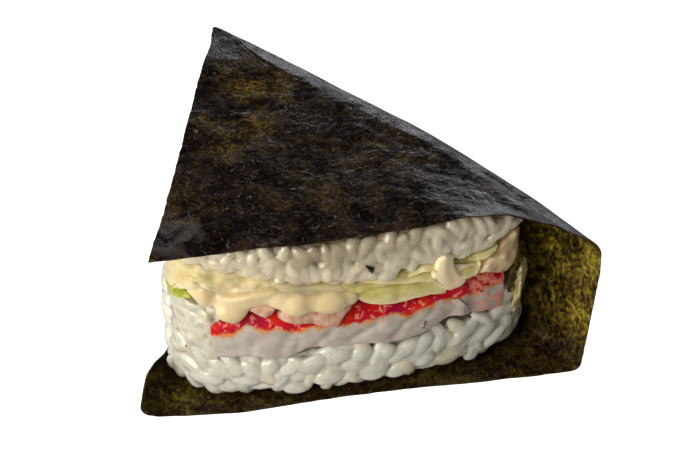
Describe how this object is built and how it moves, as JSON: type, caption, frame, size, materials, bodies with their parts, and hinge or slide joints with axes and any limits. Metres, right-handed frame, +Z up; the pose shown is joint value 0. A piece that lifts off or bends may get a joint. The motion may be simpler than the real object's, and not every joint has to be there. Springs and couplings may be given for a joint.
{
  "type": "filled rice ball wrapped in nori",
  "caption": "Triangular filled rice ball lying flat, open at one side, with crab stick, flaked tuna, lettuce and sauce between beds of rice in a folded sheet of nori.",
  "frame": {"origin": "middle of the underside of the overall box", "axes": "+X along the open side, +Y from the open side to the back corner, +Z up, with the wrapped rice lying flat"},
  "size_m": [0.0982, 0.0882, 0.0425],
  "materials": {
    "nori": "dark, slightly glossy",
    "rice_lower": "moist, translucent",
    "rice_upper": "moist, translucent",
    "crab_stick": "moist",
    "tuna": "moist",
    "sauce": "glossy",
    "lettuce": "moist",
    "lettuce_green": "moist"
  },
  "bodies": {
    "root": {"nori_sheet": "nori", "rice_lower": "rice_lower", "rice_upper": "rice_upper", "crab_stick": "crab_stick", "tuna_flake_left": "tuna", "tuna_flake_right": "tuna", "sauce_lower": "sauce", "sauce_right": "sauce", "lettuce_leaf_left": "lettuce", "lettuce_leaf_lower": "lettuce", "lettuce_leaf_upper": "lettuce", "lettuce_scrap_left": "lettuce_green", "lettuce_scrap_right": "lettuce"}
  },
  "joints": []
}
